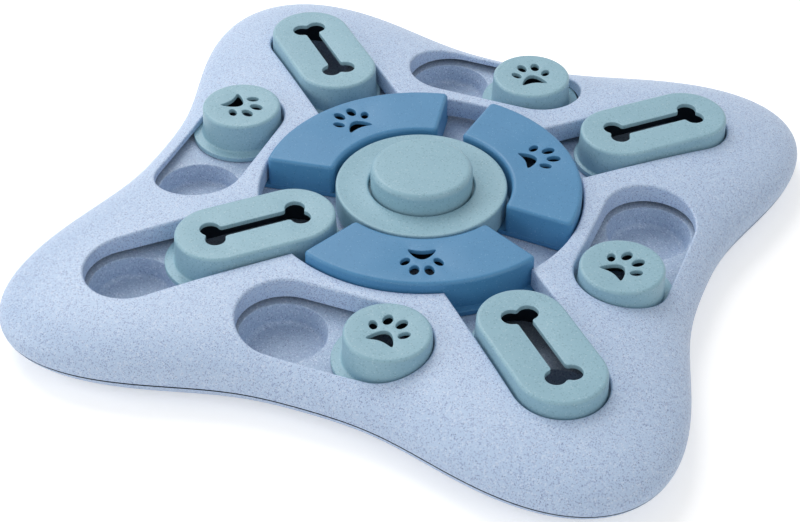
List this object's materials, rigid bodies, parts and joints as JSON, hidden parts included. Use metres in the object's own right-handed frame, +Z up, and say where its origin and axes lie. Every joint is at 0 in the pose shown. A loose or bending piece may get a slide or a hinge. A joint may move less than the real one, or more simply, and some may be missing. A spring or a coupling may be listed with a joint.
{
  "type": "dog puzzle feeder toy",
  "caption": "Pillow-shaped puzzle board with treat cups under sliding paw and bone covers, curved turning covers round a hub, and a squeaking push button.",
  "frame": {"origin": "on the table under the middle of the hub, between the four feet", "axes": "+Z up; -Y is the side of the front round slider; the bone sliders lie on the diagonals"},
  "size_m": [0.2984, 0.2984, 0.0443],
  "materials": {
    "board_plastic": "pale periwinkle, fine dark speckle, satin",
    "cover_plastic": "pale aqua grey, faint speckle, satin",
    "arc_plastic": "steel blue, faint speckle, satin",
    "bulb_rubber": "soft cast rubber",
    "reed_plastic": "plain moulded",
    "screw_steel": "zinc plated",
    "foot_rubber": "matt moulded"
  },
  "bodies": {
    "board": {"top_shell": "board_plastic", "floor_tray": "board_plastic", "base_shell": "board_plastic", "hub_ring": "cover_plastic", "squeaker_bellows": "bulb_rubber", "squeaker_reed": "reed_plastic", "shell_screws": "screw_steel", "hub_screws": "screw_steel", "rubber_feet": "foot_rubber"},
    "button": {"centre_button": "cover_plastic"},
    "paw_front": {"paw_slider_front": "cover_plastic"},
    "paw_right": {"paw_slider_right": "cover_plastic"},
    "paw_back": {"paw_slider_back": "cover_plastic"},
    "paw_left": {"paw_slider_left": "cover_plastic"},
    "bone_front_right": {"bone_slider_front_right": "cover_plastic"},
    "bone_back_right": {"bone_slider_back_right": "cover_plastic"},
    "bone_back_left": {"bone_slider_back_left": "cover_plastic"},
    "bone_front_left": {"bone_slider_front_left": "cover_plastic"},
    "arc_right": {"arc_cover_right": "arc_plastic"},
    "arc_back": {"arc_cover_back": "arc_plastic"},
    "arc_front": {"arc_cover_front": "arc_plastic"}
  },
  "joints": [
    {"name": "slide_paw_front", "type": "slide", "parent": "board", "child": "paw_front", "axis": [1, 0, 0], "range_m": [-0.0476, 0]},
    {"name": "slide_paw_right", "type": "slide", "parent": "board", "child": "paw_right", "axis": [0, 1, 0], "range_m": [0, 0.0476]},
    {"name": "slide_paw_back", "type": "slide", "parent": "board", "child": "paw_back", "axis": [1, 0, 0], "range_m": [-0.0422, 0.0054]},
    {"name": "slide_paw_left", "type": "slide", "parent": "board", "child": "paw_left", "axis": [0, 1, 0], "range_m": [-0.0476, 0]},
    {"name": "slide_bone_front_right", "type": "slide", "parent": "board", "child": "bone_front_right", "axis": [0.7071, -0.7071, 0], "range_m": [-0.0027, 0]},
    {"name": "slide_bone_back_right", "type": "slide", "parent": "board", "child": "bone_back_right", "axis": [0.7071, 0.7071, 0], "range_m": [-0.0027, 0]},
    {"name": "slide_bone_back_left", "type": "slide", "parent": "board", "child": "bone_back_left", "axis": [-0.7071, 0.7071, 0], "range_m": [-0.0027, 0]},
    {"name": "slide_bone_front_left", "type": "slide", "parent": "board", "child": "bone_front_left", "axis": [-0.7071, -0.7071, 0], "range_m": [0, 0.0402]},
    {"name": "turn_arc_right", "type": "hinge", "parent": "board", "child": "arc_right", "pos_m": [0, 0, 0.02], "axis": [0, 0, 1], "range_deg": [-21.1, 14.8]},
    {"name": "turn_arc_back", "type": "hinge", "parent": "board", "child": "arc_back", "pos_m": [0, 0, 0.02], "axis": [0, 0, 1], "range_deg": [-14.8, 15.6]},
    {"name": "turn_arc_front", "type": "hinge", "parent": "board", "child": "arc_front", "pos_m": [0, 0, 0.02], "axis": [0, 0, 1], "range_deg": [0, 21.1]},
    {"name": "press_button", "type": "slide", "parent": "board", "child": "button", "axis": [0, 0, -1], "range_m": [0, 0.008], "stiffness_N_per_m": 400, "springref_m": -0.001, "deforming": ["squeaker_bellows"]}
  ]
}
